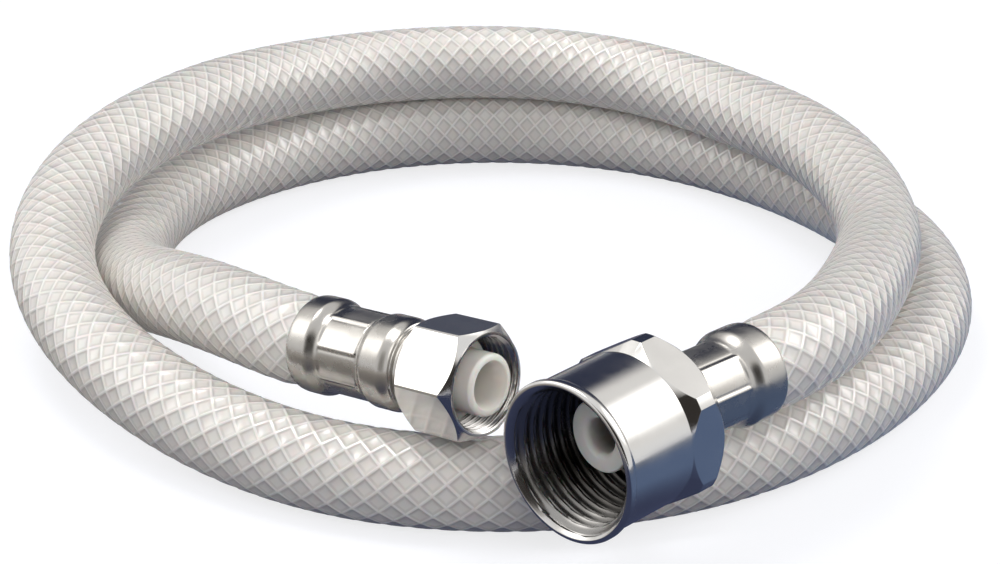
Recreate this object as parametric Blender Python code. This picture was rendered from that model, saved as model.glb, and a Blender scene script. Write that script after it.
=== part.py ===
"""PVC fill line: a braided plastic water hose with a small and a large swivel nut.

The hose lies in a loose coil of almost two turns, and both ends lie on its front turn.
Each end holds a plastic insert with a barbed shank, a crimped metal ferrule and a nut
that turns freely on the insert. Lengths are in metres, and +Z is up.
"""

import math

import bmesh
import bpy
import numpy as np
from mathutils import Matrix, Vector

MM = 0.001

# Clearance that two pieces keep where they touch
TOUCH = 0.3 * MM

# Hose
HOSE_DIAMETER = 13.5 * MM
HOSE_BORE = 9.0 * MM
HOSE_POINT_STEP = 12.0 * MM
HOSE_QUARTER_STEPS = 4
CRIMP_TAPER = 4.0 * MM

# Barbed shank, the same on both inserts
INSERT_BORE = 6.0 * MM
BARB_HEIGHT = 0.45 * MM
BARB_PITCH = 3.6 * MM
BARB_COUNT = 4
NECK_DIAMETER = 8.8 * MM
GROOVE_DEPTH = 0.6 * MM

# Ferrules, pressed from tube of one thickness
FERRULE_WALL = 0.4 * MM
FERRULE_CRIMP_DIAMETER = 12.7 * MM
FERRULE_LIP_DIAMETER = 13.9 * MM
BEAD_LENGTH = 5.2 * MM
BEAD_RISE = 2.4 * MM
BEAD_ROLL = 1.2 * MM
FLANGE_ROUND = 0.25 * MM
CRIMP_DIES = 8
RIDGE_HEIGHT = 0.22 * MM
RIDGE_END = 0.5 * MM

# Small end: a 3/8 inch compression nut
SMALL_FLATS = 15.3 * MM
SMALL_LENGTH = 10.4 * MM
SMALL_FACE_DIAMETER = 14.9 * MM
SMALL_CHAMFER = 1.2 * MM
SMALL_CORNER_TRIM = 0.1 * MM
SMALL_THREAD_BORE = 13.1 * MM
SMALL_MOUTH_CHAMFER = 0.45 * MM
SMALL_WEB = 2.8 * MM
SMALL_HOLE_CLEARANCE = 0.5 * MM
SMALL_HEX_TURN = 4.9
SMALL_NOSE_DIAMETER = 9.0 * MM
SMALL_NOSE_FACE = 7.8 * MM
SMALL_NOSE_PROUD = 0.9 * MM
SMALL_COLLAR_DIAMETER = 12.3 * MM
SMALL_COLLAR_LENGTH = 2.2 * MM
SMALL_FERRULE_LENGTH = 20.8 * MM
SMALL_BEAD_DIAMETER = 14.8 * MM
SMALL_BULGE_DIAMETER = 13.7 * MM
BULGE_TOP = 4.2 * MM
BULGE_FLAT = 2.8 * MM
BULGE_LENGTH = 9.2 * MM
SMALL_RIM = (-1.87 * MM, -83.5 * MM, 23.1 * MM)
SMALL_HEADING = 140.06
SMALL_PITCH = -4.55

# Large end: a 1/2 inch pipe-thread nut with a round skirt
LARGE_SKIRT_DIAMETER = 22.3 * MM
LARGE_SKIRT_LENGTH = 12.7 * MM
LARGE_LIP_ROUND = 0.5 * MM
LARGE_FLATS = 22.4 * MM
LARGE_HEX_LENGTH = 6.7 * MM
LARGE_CORNER_TRIM = 0.45 * MM
LARGE_CHAMFER = 1.9 * MM
LARGE_BOSS_DIAMETER = 16.4 * MM
LARGE_BOSS_LENGTH = 0.8 * MM
LARGE_THREAD_BORE = 19.2 * MM
LARGE_MOUTH_CHAMFER = 0.75 * MM
LARGE_WEB = 2.8 * MM
LARGE_HOLE_CLEARANCE = 1.0 * MM
LARGE_HEX_TURN = 28.5
LARGE_NOSE_DIAMETER = 10.3 * MM
LARGE_NOSE_FACE = 9.7 * MM
LARGE_NOSE_LENGTH = 9.0 * MM
LARGE_COLLAR_DIAMETER = 16.4 * MM
LARGE_COLLAR_LENGTH = 2.0 * MM
LARGE_FERRULE_LENGTH = 16.8 * MM
LARGE_BEAD_DIAMETER = 14.3 * MM
LARGE_CRIMP_START = 1.6 * MM
LARGE_SEAT = (20.3 * MM, -91.3 * MM, 22.2 * MM)
LARGE_HEADING = 43.66
LARGE_PITCH = 2.04
LARGE_NUT_SEAT = (20.75 * MM, -91.3 * MM, 21.65 * MM)
LARGE_NUT_HEADING = 46.2
LARGE_NUT_PITCH = 3.4
LARGE_TILT_ROOM = 0.6 * MM

# The coil, clockwise seen from above: angle from the front in degrees, then distance
# from the coil's centre and height of the hose's middle in millimetres
COIL_ROUTE = (
    (35, 64.8, 20.0), (50, 61.9, 18.0), (65, 60.5, 14.0), (80, 60.8, 9.8),
    (100, 63.9, 7.0), (120, 68.4, 6.8), (140, 72.7, 6.8), (160, 76.6, 6.8),
    (180, 78.5, 6.8), (200, 77.1, 6.8), (220, 73.6, 6.8), (240, 71.2, 6.8),
    (260, 70.6, 6.8), (280, 70.9, 6.8), (300, 71.9, 6.8), (320, 74.7, 6.8),
    (340, 78.8, 6.8), (360, 81.0, 6.8), (380, 79.6, 7.1), (400, 76.8, 9.3),
    (420, 75.1, 12.7), (440, 73.4, 16.8), (460, 70.0, 21.1), (480, 67.5, 23.0),
    (500, 70.3, 22.2), (520, 75.0, 20.8), (540, 76.4, 20.5), (560, 73.1, 20.1),
    (580, 66.9, 19.7), (600, 62.3, 20.2), (620, 61.3, 19.1), (640, 62.0, 18.3),
    (660, 65.5, 20.0), (680, 75.4, 22.1),
)

# From the coil's centre to the middle of the whole line's footprint
FOOTPRINT_MIDDLE = (-0.86 * MM, -13.29 * MM)

TURNED_STEPS = 48
FERRULE_STEPS = 40
INSERT_STEPS = 32
CURVE_STEPS = 4
GENTLE_STEPS = 3
SHARP_ANGLE = 30.0

# Width across a hexagon's flats for each unit from its middle to a corner
FLATS_PER_CORNER = math.sqrt(3)

# Drawn size of the empties that mark the fittings' axes
AXIS_MARK = 10.0 * MM


def clear_scene():
    for thing in list(bpy.data.objects):
        bpy.data.objects.remove(thing, do_unlink=True)


def plain_material(name, colour, roughness, metallic):
    material = bpy.data.materials.new(name)
    material.use_nodes = True
    shader = material.node_tree.nodes["Principled BSDF"]
    shader.inputs["Base Color"].default_value = (*colour, 1.0)
    shader.inputs["Roughness"].default_value = roughness
    shader.inputs["Metallic"].default_value = metallic
    return material


def direction(heading, pitch):
    """Unit vector at a compass heading from +X and a pitch above the floor, in degrees."""
    turn, lift = math.radians(heading), math.radians(pitch)
    return Vector((math.cos(lift) * math.cos(turn), math.cos(lift) * math.sin(turn), math.sin(lift)))


def footprint_place(place):
    return Vector((place[0] - FOOTPRINT_MIDDLE[0], place[1] - FOOTPRINT_MIDDLE[1], place[2]))


def axis_empty(name, place, heading, pitch):
    """Empty whose +Z runs along a fitting, from its mouth back to the hose."""
    empty = bpy.data.objects.new(name, None)
    turn = Matrix.Rotation(math.radians(heading), 4, "Z")
    lean = Matrix.Rotation(math.radians(90.0 - pitch), 4, "Y")
    empty.matrix_world = Matrix.Translation(footprint_place(place)) @ turn @ lean
    empty.empty_display_size = AXIS_MARK
    bpy.context.scene.collection.objects.link(empty)
    return empty


def arc(middle, radius, start, end, steps=CURVE_STEPS):
    """Points of a round corner in a section: middle is (along, out), angles in degrees."""
    angles = [math.radians(start + (end - start) * i / steps) for i in range(steps + 1)]
    return [(middle[0] + radius * math.cos(a), middle[1] + radius * math.sin(a)) for a in angles]


def swell(start, end, steps=CURVE_STEPS):
    """Smooth S-curve between two (along, out) points, level at both ends."""
    points = []
    for i in range(steps + 1):
        t = i / steps
        ease = 0.5 - 0.5 * math.cos(math.pi * t)
        points.append((start[0] + (end[0] - start[0]) * t, start[1] + (end[1] - start[1]) * ease))
    return points


def turned(name, section, steps):
    """Mesh turned about local Z from a closed section of (along, out) points."""
    shape = bmesh.new()
    corners = []
    for along, out in section:
        if not corners or (Vector((out, 0, along)) - corners[-1].co).length > 1e-6:
            corners.append(shape.verts.new((out, 0, along)))
    edges = [shape.edges.new((corners[i - 1], corners[i])) for i in range(len(corners))]
    bmesh.ops.spin(shape, geom=corners + edges, cent=(0, 0, 0), axis=(0, 0, 1), dvec=(0, 0, 0),
                   angle=math.tau, steps=steps, use_duplicate=False)
    bmesh.ops.remove_doubles(shape, verts=shape.verts, dist=1e-7)
    bmesh.ops.recalc_face_normals(shape, faces=shape.faces)
    mesh = bpy.data.meshes.new(name)
    shape.to_mesh(mesh)
    shape.free()
    shade_round(mesh)
    return mesh


def shade_round(mesh):
    mesh.shade_smooth()
    mesh.set_sharp_from_angle(angle=math.radians(SHARP_ANGLE))


def add_piece(name, mesh, material, parent=None):
    piece = bpy.data.objects.new(name, mesh)
    mesh.materials.append(material)
    bpy.context.scene.collection.objects.link(piece)
    if parent:
        piece.parent = parent
    return piece


def hex_prism(name, flats, length, turn, parent):
    """Six-sided guide bar along local Z that cuts a nut's flats; turn is a flat's direction."""
    shape = bmesh.new()
    corner = flats / FLATS_PER_CORNER
    bmesh.ops.create_cone(shape, cap_ends=True, segments=6, radius1=corner, radius2=corner,
                          depth=length * 2,
                          matrix=Matrix.Rotation(math.radians(turn), 4, "Z"))
    mesh = bpy.data.meshes.new(name)
    shape.to_mesh(mesh)
    shape.free()
    prism = bpy.data.objects.new(name, mesh)
    prism.hide_render = True
    prism.display_type = "WIRE"
    prism.parent = parent
    bpy.context.scene.collection.objects.link(prism)
    return prism


def cut_flats(nut, prism):
    flats = nut.modifiers.new("flats", "BOOLEAN")
    flats.operation = "INTERSECT"
    flats.solver = "EXACT"
    flats.object = prism


def make_small_nut(material, parent):
    """Hexagon nut with chamfered ends, a threaded mouth and a rear web with a hole."""
    corner = SMALL_FLATS / FLATS_PER_CORNER - SMALL_CORNER_TRIM
    face = SMALL_FACE_DIAMETER / 2
    bore = SMALL_THREAD_BORE / 2
    hole = NECK_DIAMETER / 2 + SMALL_HOLE_CLEARANCE
    seat = SMALL_LENGTH - SMALL_WEB
    section = [
        (0, bore + SMALL_MOUTH_CHAMFER),
        (0, face),
        (SMALL_CHAMFER, corner),
        (SMALL_LENGTH - SMALL_CHAMFER, corner),
        (SMALL_LENGTH, face),
        (SMALL_LENGTH, hole),
        (seat, hole),
        (seat, bore),
        (SMALL_MOUTH_CHAMFER, bore),
    ]
    nut = add_piece("small_nut", turned("small_nut", section, TURNED_STEPS), material, parent)
    cut_flats(nut, hex_prism("small_hex_guide", SMALL_FLATS, SMALL_LENGTH * 2, SMALL_HEX_TURN, parent))


def make_large_nut(material, parent):
    """Nut with a long round skirt, a short chamfered hexagon and a thin rear boss.

    Its own origin lies on its axis where the web meets the insert's collar.
    """
    skirt = LARGE_SKIRT_DIAMETER / 2
    corner = LARGE_FLATS / FLATS_PER_CORNER - LARGE_CORNER_TRIM
    bore = LARGE_THREAD_BORE / 2
    boss = LARGE_BOSS_DIAMETER / 2
    hole = NECK_DIAMETER / 2 + LARGE_HOLE_CLEARANCE
    hex_end = LARGE_SKIRT_LENGTH + LARGE_HEX_LENGTH
    rear = hex_end + LARGE_BOSS_LENGTH
    seat = rear - LARGE_WEB
    outline = [(0, bore + LARGE_MOUTH_CHAMFER)]
    outline += arc((LARGE_LIP_ROUND, skirt - LARGE_LIP_ROUND), LARGE_LIP_ROUND, 180, 90)
    outline += [
        (LARGE_SKIRT_LENGTH, skirt),
        (LARGE_SKIRT_LENGTH + LARGE_CHAMFER, corner),
        (hex_end - LARGE_CHAMFER, corner),
        (hex_end, skirt),
        (hex_end, boss),
        (rear, boss),
        (rear, hole),
        (seat, hole),
        (seat, bore),
        (LARGE_MOUTH_CHAMFER, bore),
    ]
    section = [(along - seat, out) for along, out in outline]
    nut = add_piece("large_nut", turned("large_nut", section, TURNED_STEPS), material, parent)
    cut_flats(nut, hex_prism("large_hex_guide", LARGE_FLATS, rear * 2, LARGE_HEX_TURN, parent))


def shank_section(start):
    """Barbs of the shank that the hose is pushed over, from start towards its tip."""
    top = HOSE_BORE / 2 - TOUCH
    root = top - BARB_HEIGHT
    points = []
    for i in range(BARB_COUNT):
        foot = start + i * BARB_PITCH
        points += [(foot, top), (foot + BARB_PITCH, root)]
    return points


def groove_and_shank(neck_end, flange):
    """From the neck's shoulder, past the ferrule's flange, to the shank's open tip."""
    groove = NECK_DIAMETER / 2 - GROOVE_DEPTH
    shank_start = neck_end + flange + 2 * TOUCH
    points = [(neck_end, NECK_DIAMETER / 2), (neck_end, groove), (shank_start, groove)]
    points += shank_section(shank_start)
    points.append((points[-1][0], INSERT_BORE / 2))
    return points


def make_small_insert(material, parent):
    """Plastic insert: nose a little proud of the nut's rim, collar, neck and barbed shank."""
    nose = SMALL_NOSE_DIAMETER / 2
    face = SMALL_NOSE_FACE / 2
    collar = SMALL_COLLAR_DIAMETER / 2
    tip = -SMALL_NOSE_PROUD
    collar_rear = SMALL_LENGTH - SMALL_WEB - TOUCH
    collar_front = collar_rear - SMALL_COLLAR_LENGTH
    section = [(tip, INSERT_BORE / 2)]
    section += arc((tip + nose - face, face), nose - face, 180, 90)
    section += [(collar_front, nose), (collar_front, collar), (collar_rear, collar)]
    section += [(collar_rear, NECK_DIAMETER / 2)]
    section += groove_and_shank(SMALL_LENGTH + TOUCH, FERRULE_WALL)
    add_piece("small_insert", turned("small_insert", section, INSERT_STEPS), material, parent)


def make_large_insert(material, parent):
    """Plastic insert set deep in the large nut; its collar's cone lets the nut tilt."""
    nose = LARGE_NOSE_DIAMETER / 2
    face = LARGE_NOSE_FACE / 2
    collar = LARGE_COLLAR_DIAMETER / 2
    neck = NECK_DIAMETER / 2
    collar_rear = -TOUCH - LARGE_TILT_ROOM / 2
    collar_front = collar_rear - LARGE_COLLAR_LENGTH
    tip = collar_rear - LARGE_NOSE_LENGTH
    section = [(tip, INSERT_BORE / 2)]
    section += arc((tip + nose - face, face), nose - face, 180, 90)
    section += [(collar_front, nose), (collar_front, collar)]
    section += [(collar_rear - LARGE_TILT_ROOM, collar), (collar_rear, neck + LARGE_TILT_ROOM)]
    section += [(collar_rear, neck)]
    section += groove_and_shank(LARGE_WEB + LARGE_TILT_ROOM, FERRULE_WALL)
    add_piece("large_insert", turned("large_insert", section, INSERT_STEPS), material, parent)


def ferrule_mesh(name, start, outside, crimp_from, crimp_to):
    """Pressed shell: a flange behind the insert's shoulder, then outside as (along, out)
    points, with the inner wall one thickness inside and a ridge between the crimping dies."""
    hole = NECK_DIAMETER / 2 - GROOVE_DEPTH + TOUCH
    flange = start + FERRULE_WALL
    inside = [(along, out - FERRULE_WALL) for along, out in outside if along > flange]
    section = [(start, hole)] + outside + inside[::-1]
    section += [(flange, inside[0][1]), (flange, hole)]
    mesh = turned(name, section, FERRULE_STEPS)
    shell = FERRULE_CRIMP_DIAMETER / 2 - FERRULE_WALL / 2
    for vertex in mesh.vertices:
        along = vertex.co.z
        out = math.hypot(vertex.co.x, vertex.co.y)
        if out < shell or not crimp_from + RIDGE_END / 2 < along < crimp_to - RIDGE_END / 2:
            continue
        turn = math.atan2(vertex.co.y, vertex.co.x) / math.tau * CRIMP_DIES
        if abs(turn - round(turn)) < 0.5 * CRIMP_DIES / FERRULE_STEPS:
            grow = (out + RIDGE_HEIGHT) / out
            vertex.co.x *= grow
            vertex.co.y *= grow
    return mesh


def bead_outline(crimp_end, end, bead):
    """Swell from the crimp to the bead and the rolled lip at the hose's side."""
    crimp = FERRULE_CRIMP_DIAMETER / 2
    lip = FERRULE_LIP_DIAMETER / 2
    fall = end - BEAD_ROLL
    points = swell((crimp_end, crimp), (crimp_end + BEAD_RISE, bead))
    for i in range(GENTLE_STEPS + 1):
        turn = math.pi / 2 * i / GENTLE_STEPS
        points.append((fall + BEAD_ROLL * math.sin(turn), lip + (bead - lip) * math.cos(turn)))
    return points


def make_small_ferrule(material, parent):
    """Ferrule with a low bulge next to the nut, a crimped waist and a bead at the hose."""
    start = SMALL_LENGTH + 2 * TOUCH
    end = start + SMALL_FERRULE_LENGTH
    crimp = FERRULE_CRIMP_DIAMETER / 2
    bulge = SMALL_BULGE_DIAMETER / 2
    outside = [(start, crimp - FLANGE_ROUND)]
    outside += swell((start + FERRULE_WALL + TOUCH, crimp), (start + BULGE_TOP, bulge), GENTLE_STEPS)
    outside += swell((start + BULGE_TOP + BULGE_FLAT, bulge), (start + BULGE_LENGTH, crimp), GENTLE_STEPS)
    crimp_from = start + BULGE_LENGTH
    crimp_to = end - BEAD_LENGTH
    outside += [(crimp_from + RIDGE_END, crimp), (crimp_to - RIDGE_END, crimp)]
    outside += bead_outline(crimp_to, end, SMALL_BEAD_DIAMETER / 2)
    mesh = ferrule_mesh("small_ferrule", start, outside, crimp_from, crimp_to)
    add_piece("small_ferrule", mesh, material, parent)


def make_large_ferrule(material, parent):
    """Ferrule whose crimped waist starts at the nut and ends in a bead at the hose."""
    start = LARGE_WEB + LARGE_TILT_ROOM + TOUCH
    end = start + LARGE_FERRULE_LENGTH
    crimp = FERRULE_CRIMP_DIAMETER / 2
    crimp_from = start + LARGE_CRIMP_START
    crimp_to = end - BEAD_LENGTH
    outside = [(start, crimp - FLANGE_ROUND), (start + FLANGE_ROUND, crimp)]
    outside += [(start + FERRULE_WALL + TOUCH, crimp), (crimp_from, crimp)]
    outside += [(crimp_from + RIDGE_END, crimp), (crimp_to - RIDGE_END, crimp)]
    outside += bead_outline(crimp_to, end, LARGE_BEAD_DIAMETER / 2)
    mesh = ferrule_mesh("large_ferrule", start, outside, crimp_from, crimp_to)
    add_piece("large_ferrule", mesh, material, parent)


def smooth_curve(route):
    """Natural cubic spline through the route, as a function of the length along it."""
    points = np.array(route, dtype=float)
    steps = np.linalg.norm(np.diff(points, axis=0), axis=1)
    marks = np.concatenate(([0.0], np.cumsum(steps)))
    count = len(points)
    system = np.zeros((count, count))
    target = np.zeros((count, 3))
    system[0, 0] = system[-1, -1] = 1.0
    for i in range(1, count - 1):
        before, after = steps[i - 1], steps[i]
        system[i, i - 1:i + 2] = before, 2 * (before + after), after
        target[i] = 6 * ((points[i + 1] - points[i]) / after - (points[i] - points[i - 1]) / before)
    bend = np.linalg.solve(system, target)

    def place(mark):
        i = min(max(int(np.searchsorted(marks, mark)) - 1, 0), count - 2)
        width = steps[i]
        left, right = marks[i + 1] - mark, mark - marks[i]
        return (bend[i] * left ** 3 / (6 * width) + bend[i + 1] * right ** 3 / (6 * width)
                + (points[i] / width - bend[i] * width / 6) * left
                + (points[i + 1] / width - bend[i + 1] * width / 6) * right)

    return place, marks


def hose_route():
    """Middle line of the hose: straight in each ferrule, and along the coil between them."""
    small = footprint_place(SMALL_RIM)
    small_way = direction(SMALL_HEADING, SMALL_PITCH)
    large = footprint_place(LARGE_SEAT)
    large_way = direction(LARGE_HEADING, LARGE_PITCH)
    small_start = SMALL_LENGTH + 2 * TOUCH + FERRULE_WALL + TOUCH
    small_end = SMALL_LENGTH + 2 * TOUCH + SMALL_FERRULE_LENGTH
    large_start = LARGE_WEB + LARGE_TILT_ROOM + FERRULE_WALL + 2 * TOUCH
    large_end = LARGE_WEB + LARGE_TILT_ROOM + TOUCH + LARGE_FERRULE_LENGTH
    coil = []
    for angle, out, height in COIL_ROUTE:
        turn = math.radians(angle)
        spot = (-out * math.sin(turn) * MM, -out * math.cos(turn) * MM, height * MM)
        coil.append(footprint_place(spot))
    first = [small + small_way * s for s in np.linspace(small_start, small_end + CRIMP_TAPER, 4)]
    last = [large + large_way * s for s in np.linspace(large_end + CRIMP_TAPER, large_start, 4)]
    return first + coil + last, small_end - small_start, large_end - large_start


def hose_points():
    """Points along the hose with the share of its full radius that it has at each."""
    route, small_grip, large_grip = hose_route()
    place, marks = smooth_curve(route)
    length = marks[-1]
    crimped = (FERRULE_CRIMP_DIAMETER / 2 - FERRULE_WALL - TOUCH) / (HOSE_DIAMETER / 2)
    lip = (FERRULE_LIP_DIAMETER / 2 - FERRULE_WALL - TOUCH) / (HOSE_DIAMETER / 2)
    full_from = small_grip + CRIMP_TAPER
    full_to = length - large_grip - CRIMP_TAPER
    spots = [(0.0, crimped), (small_grip - BEAD_LENGTH, crimped), (small_grip, lip)]
    for mark in np.linspace(full_from, full_to, round((full_to - full_from) / HOSE_POINT_STEP) + 1):
        spots.append((mark, 1.0))
    spots += [(length - large_grip, lip), (length - large_grip + BEAD_LENGTH, crimped)]
    spots.append((length, crimped))
    points = []
    for mark, share in spots:
        spot = Vector(place(mark))
        spot.z = max(spot.z, HOSE_DIAMETER / 2)
        points.append((spot, share))
    return points


def tube(name, points, radius):
    """Plain round tube along the points, each with its share of the radius."""
    curve = bpy.data.curves.new(name, "CURVE")
    curve.dimensions = "3D"
    curve.bevel_depth = radius
    curve.bevel_resolution = HOSE_QUARTER_STEPS
    curve.use_fill_caps = True
    spline = curve.splines.new("POLY")
    spline.points.add(len(points) - 1)
    for point, (spot, share) in zip(spline.points, points):
        point.co = (*spot, 1.0)
        point.radius = share
    maker = bpy.data.objects.new(name, curve)
    bpy.context.scene.collection.objects.link(maker)
    bpy.context.view_layer.update()
    mesh = bpy.data.meshes.new_from_object(maker.evaluated_get(bpy.context.evaluated_depsgraph_get()))
    bpy.data.objects.remove(maker, do_unlink=True)
    return mesh


def make_hose(material):
    """Clear plastic hose, squeezed under both ferrules, with its bore open at both ends."""
    points = hose_points()
    hose = add_piece("hose", tube("hose", points, HOSE_DIAMETER / 2), material)
    overrun = 2 * MM
    start = points[0][0] + (points[0][0] - points[1][0]).normalized() * overrun
    end = points[-1][0] + (points[-1][0] - points[-2][0]).normalized() * overrun
    middle = [(start, 1.0)] + [(spot, 1.0) for spot, share in points[1:-1]] + [(end, 1.0)]
    bore_mesh = tube("hose_bore_guide", middle, HOSE_BORE / 2)
    bore = bpy.data.objects.new("hose_bore_guide", bore_mesh)
    bore.hide_render = True
    bore.display_type = "WIRE"
    bpy.context.scene.collection.objects.link(bore)
    cut = hose.modifiers.new("bore", "BOOLEAN")
    cut.operation = "DIFFERENCE"
    cut.solver = "EXACT"
    cut.object = bore


def main():
    clear_scene()
    small_axis = axis_empty("small_end", SMALL_RIM, SMALL_HEADING, SMALL_PITCH)
    large_axis = axis_empty("large_end", LARGE_SEAT, LARGE_HEADING, LARGE_PITCH)
    large_nut_axis = axis_empty("large_nut_axis", LARGE_NUT_SEAT, LARGE_NUT_HEADING,
                                LARGE_NUT_PITCH)
    make_hose(plain_material("clear_pvc", (0.80, 0.79, 0.77), 0.3, 0.0))
    make_small_insert(plain_material("small_white_plastic", (0.86, 0.86, 0.83), 0.4, 0.0), small_axis)
    make_large_insert(plain_material("large_white_plastic", (0.86, 0.86, 0.83), 0.4, 0.0), large_axis)
    make_small_ferrule(plain_material("small_pressed_steel", (0.74, 0.72, 0.70), 0.2, 1.0), small_axis)
    make_large_ferrule(plain_material("large_pressed_steel", (0.74, 0.72, 0.70), 0.2, 1.0), large_axis)
    make_small_nut(plain_material("small_plated_brass", (0.80, 0.79, 0.78), 0.12, 1.0), small_axis)
    make_large_nut(plain_material("large_plated_brass", (0.80, 0.79, 0.78), 0.12, 1.0), large_nut_axis)


main()
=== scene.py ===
import math

import bmesh
import bpy
import numpy as np
from mathutils import Matrix, Vector


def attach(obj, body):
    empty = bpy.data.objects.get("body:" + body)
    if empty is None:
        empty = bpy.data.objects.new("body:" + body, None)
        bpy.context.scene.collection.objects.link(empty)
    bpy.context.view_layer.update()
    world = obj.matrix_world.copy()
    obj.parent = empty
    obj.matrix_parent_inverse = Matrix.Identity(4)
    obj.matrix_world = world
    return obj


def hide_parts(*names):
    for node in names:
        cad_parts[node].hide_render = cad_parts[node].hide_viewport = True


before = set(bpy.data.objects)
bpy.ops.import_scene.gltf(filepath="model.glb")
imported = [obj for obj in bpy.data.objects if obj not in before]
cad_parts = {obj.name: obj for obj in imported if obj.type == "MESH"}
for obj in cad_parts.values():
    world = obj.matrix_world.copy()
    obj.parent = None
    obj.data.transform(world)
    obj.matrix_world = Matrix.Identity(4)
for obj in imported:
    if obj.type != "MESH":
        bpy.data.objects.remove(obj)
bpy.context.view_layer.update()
bpy.ops.object.select_all(action="DESELECT")

# Camera: it stands a little above the coil, square to its front, with a long lens, so
# both fittings are seen into their mouths. It leans by about half a degree.
MM = 0.001
EYE = Vector((0.75, -442.73, 183.85)) * MM
AIM = Vector((0.75, -2.81, 11.98)) * MM
LENS = 105.7
SENSOR = 36.0
LEAN = math.radians(0.6)

bpy.ops.object.camera_add(location=EYE)
camera = bpy.context.object
camera.data.lens = LENS
camera.data.sensor_width = SENSOR
camera.data.clip_start = 10 * MM
facing = (AIM - EYE).to_track_quat("-Z", "Y").to_matrix()
camera.rotation_euler = (facing @ Matrix.Rotation(LEAN, 3, "Z")).to_euler()
bpy.context.scene.camera = camera
bpy.context.scene.view_settings.view_transform = "Standard"

# Hose: a soft PVC tube with a braid of polyester threads laid on it and a clear PVC skin
# drawn over both. The threads stand up under the skin as fine crossing ribs. It is made
# straight and then bent along the route that it lies in, from the small to the large end.
HOSE_DIAMETER = 13.5 * MM
HOSE_BORE = 9.0 * MM
THREADS = 12
THREAD_PITCH = 3.5 * MM
# Radius of the skin, and how far ribs, their crossings and the cells' middles stand off it
SKIN = 6.65 * MM
RIB = 0.15 * MM
CROSSING = 0.16 * MM
PILLOW = 0.07 * MM
# Where the mesh has its lines across one cell of the braid: a thread lies on the first
LATTICE = (0.0, 0.13, 0.5, 0.87)
CELL_MIDDLE = 0.5
# The skin's radius under the crimp and under the ferrule's lip, and the lengths over which
# the ferrule's bead and then the hose widen
CRIMPED_RADIUS = 5.65 * MM
LIP_RADIUS = 6.25 * MM
BEAD_LENGTH = 5.2 * MM
SPRING_BACK = 4.0 * MM
BORE_SIDES = 16
BORE_STEP = 8.0 * MM
FRAME_STEP = 0.5 * MM
OFF_FLOOR = 0.01 * MM

PVC_DIM = (0.72, 0.685, 0.64, 1)
PVC_PALE = (0.79, 0.765, 0.73, 1)
THREAD_FOOT_SHADE = (0.64, 0.61, 0.575, 1)
THREAD_WHITE = (0.84, 0.815, 0.78, 1)
# Where a thread, the painted shade line at its foot and its round top fade, in parts of a cell
THREAD_FADE = (0.04, 0.11)
FOOT_SHADE_FADE = (0.13, 0.30)
ROUND_FADE = (0.02, 0.17)

# Angle clockwise from the front in degrees, distance from the coil's centre and height
COIL_ROUTE = (
    (35, 64.8, 20.0), (50, 61.9, 18.0), (65, 60.5, 14.0), (80, 60.8, 9.8),
    (100, 63.9, 7.0), (120, 68.4, 6.8), (140, 72.7, 6.8), (160, 76.6, 6.8),
    (180, 78.5, 6.8), (200, 77.1, 6.8), (220, 73.6, 6.8), (240, 71.2, 6.8),
    (260, 70.6, 6.8), (280, 70.9, 6.8), (300, 71.9, 6.8), (320, 74.7, 6.8),
    (340, 78.8, 6.8), (360, 81.0, 6.8), (380, 79.6, 7.1), (400, 76.8, 9.3),
    (420, 75.1, 12.7), (440, 73.4, 16.8), (460, 70.0, 21.1), (480, 67.5, 23.0),
    (500, 70.3, 22.2), (520, 75.0, 20.8), (540, 76.4, 20.5), (560, 73.1, 20.1),
    (580, 66.9, 19.7), (600, 62.3, 20.2), (620, 61.3, 19.1), (640, 62.0, 18.3),
    (660, 65.5, 20.0), (680, 75.4, 22.1),
)
FOOTPRINT_MIDDLE = Vector((-0.86, -13.29, 0.0)) * MM


def fitting_frame(place, heading, pitch):
    """Matrix whose +Z runs along a fitting from its mouth back to the hose."""
    turn = Matrix.Rotation(math.radians(heading), 4, "Z")
    lean = Matrix.Rotation(math.radians(90.0 - pitch), 4, "Y")
    return Matrix.Translation(Vector(place) * MM - FOOTPRINT_MIDDLE) @ turn @ lean


small_frame = fitting_frame((-1.87, -83.5, 23.1), 140.06, -4.55)
large_frame = fitting_frame((20.3, -91.3, 22.2), 43.66, 2.04)
large_nut_frame = fitting_frame((20.75, -91.3, 21.65), 46.2, 3.4)

# Where the hose starts, leaves its ferrule and is round again, from each fitting's origin
SMALL_GRIP = (11.7 * MM, 31.8 * MM, 35.8 * MM)
LARGE_GRIP = (4.4 * MM, 20.5 * MM, 24.5 * MM)
STRAIGHT_POINTS = 4


def along_axis(fitting, start, end):
    marks = np.linspace(start, end, STRAIGHT_POINTS)
    return [fitting @ Vector((0, 0, mark)) for mark in marks]


coil = []
for angle, out, height in COIL_ROUTE:
    turn = math.radians(angle)
    spot = Vector((-out * math.sin(turn), -out * math.cos(turn), height)) * MM
    coil.append(spot - FOOTPRINT_MIDDLE)
route = along_axis(small_frame, SMALL_GRIP[0], SMALL_GRIP[2]) + coil
route += along_axis(large_frame, LARGE_GRIP[2], LARGE_GRIP[0])


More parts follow.
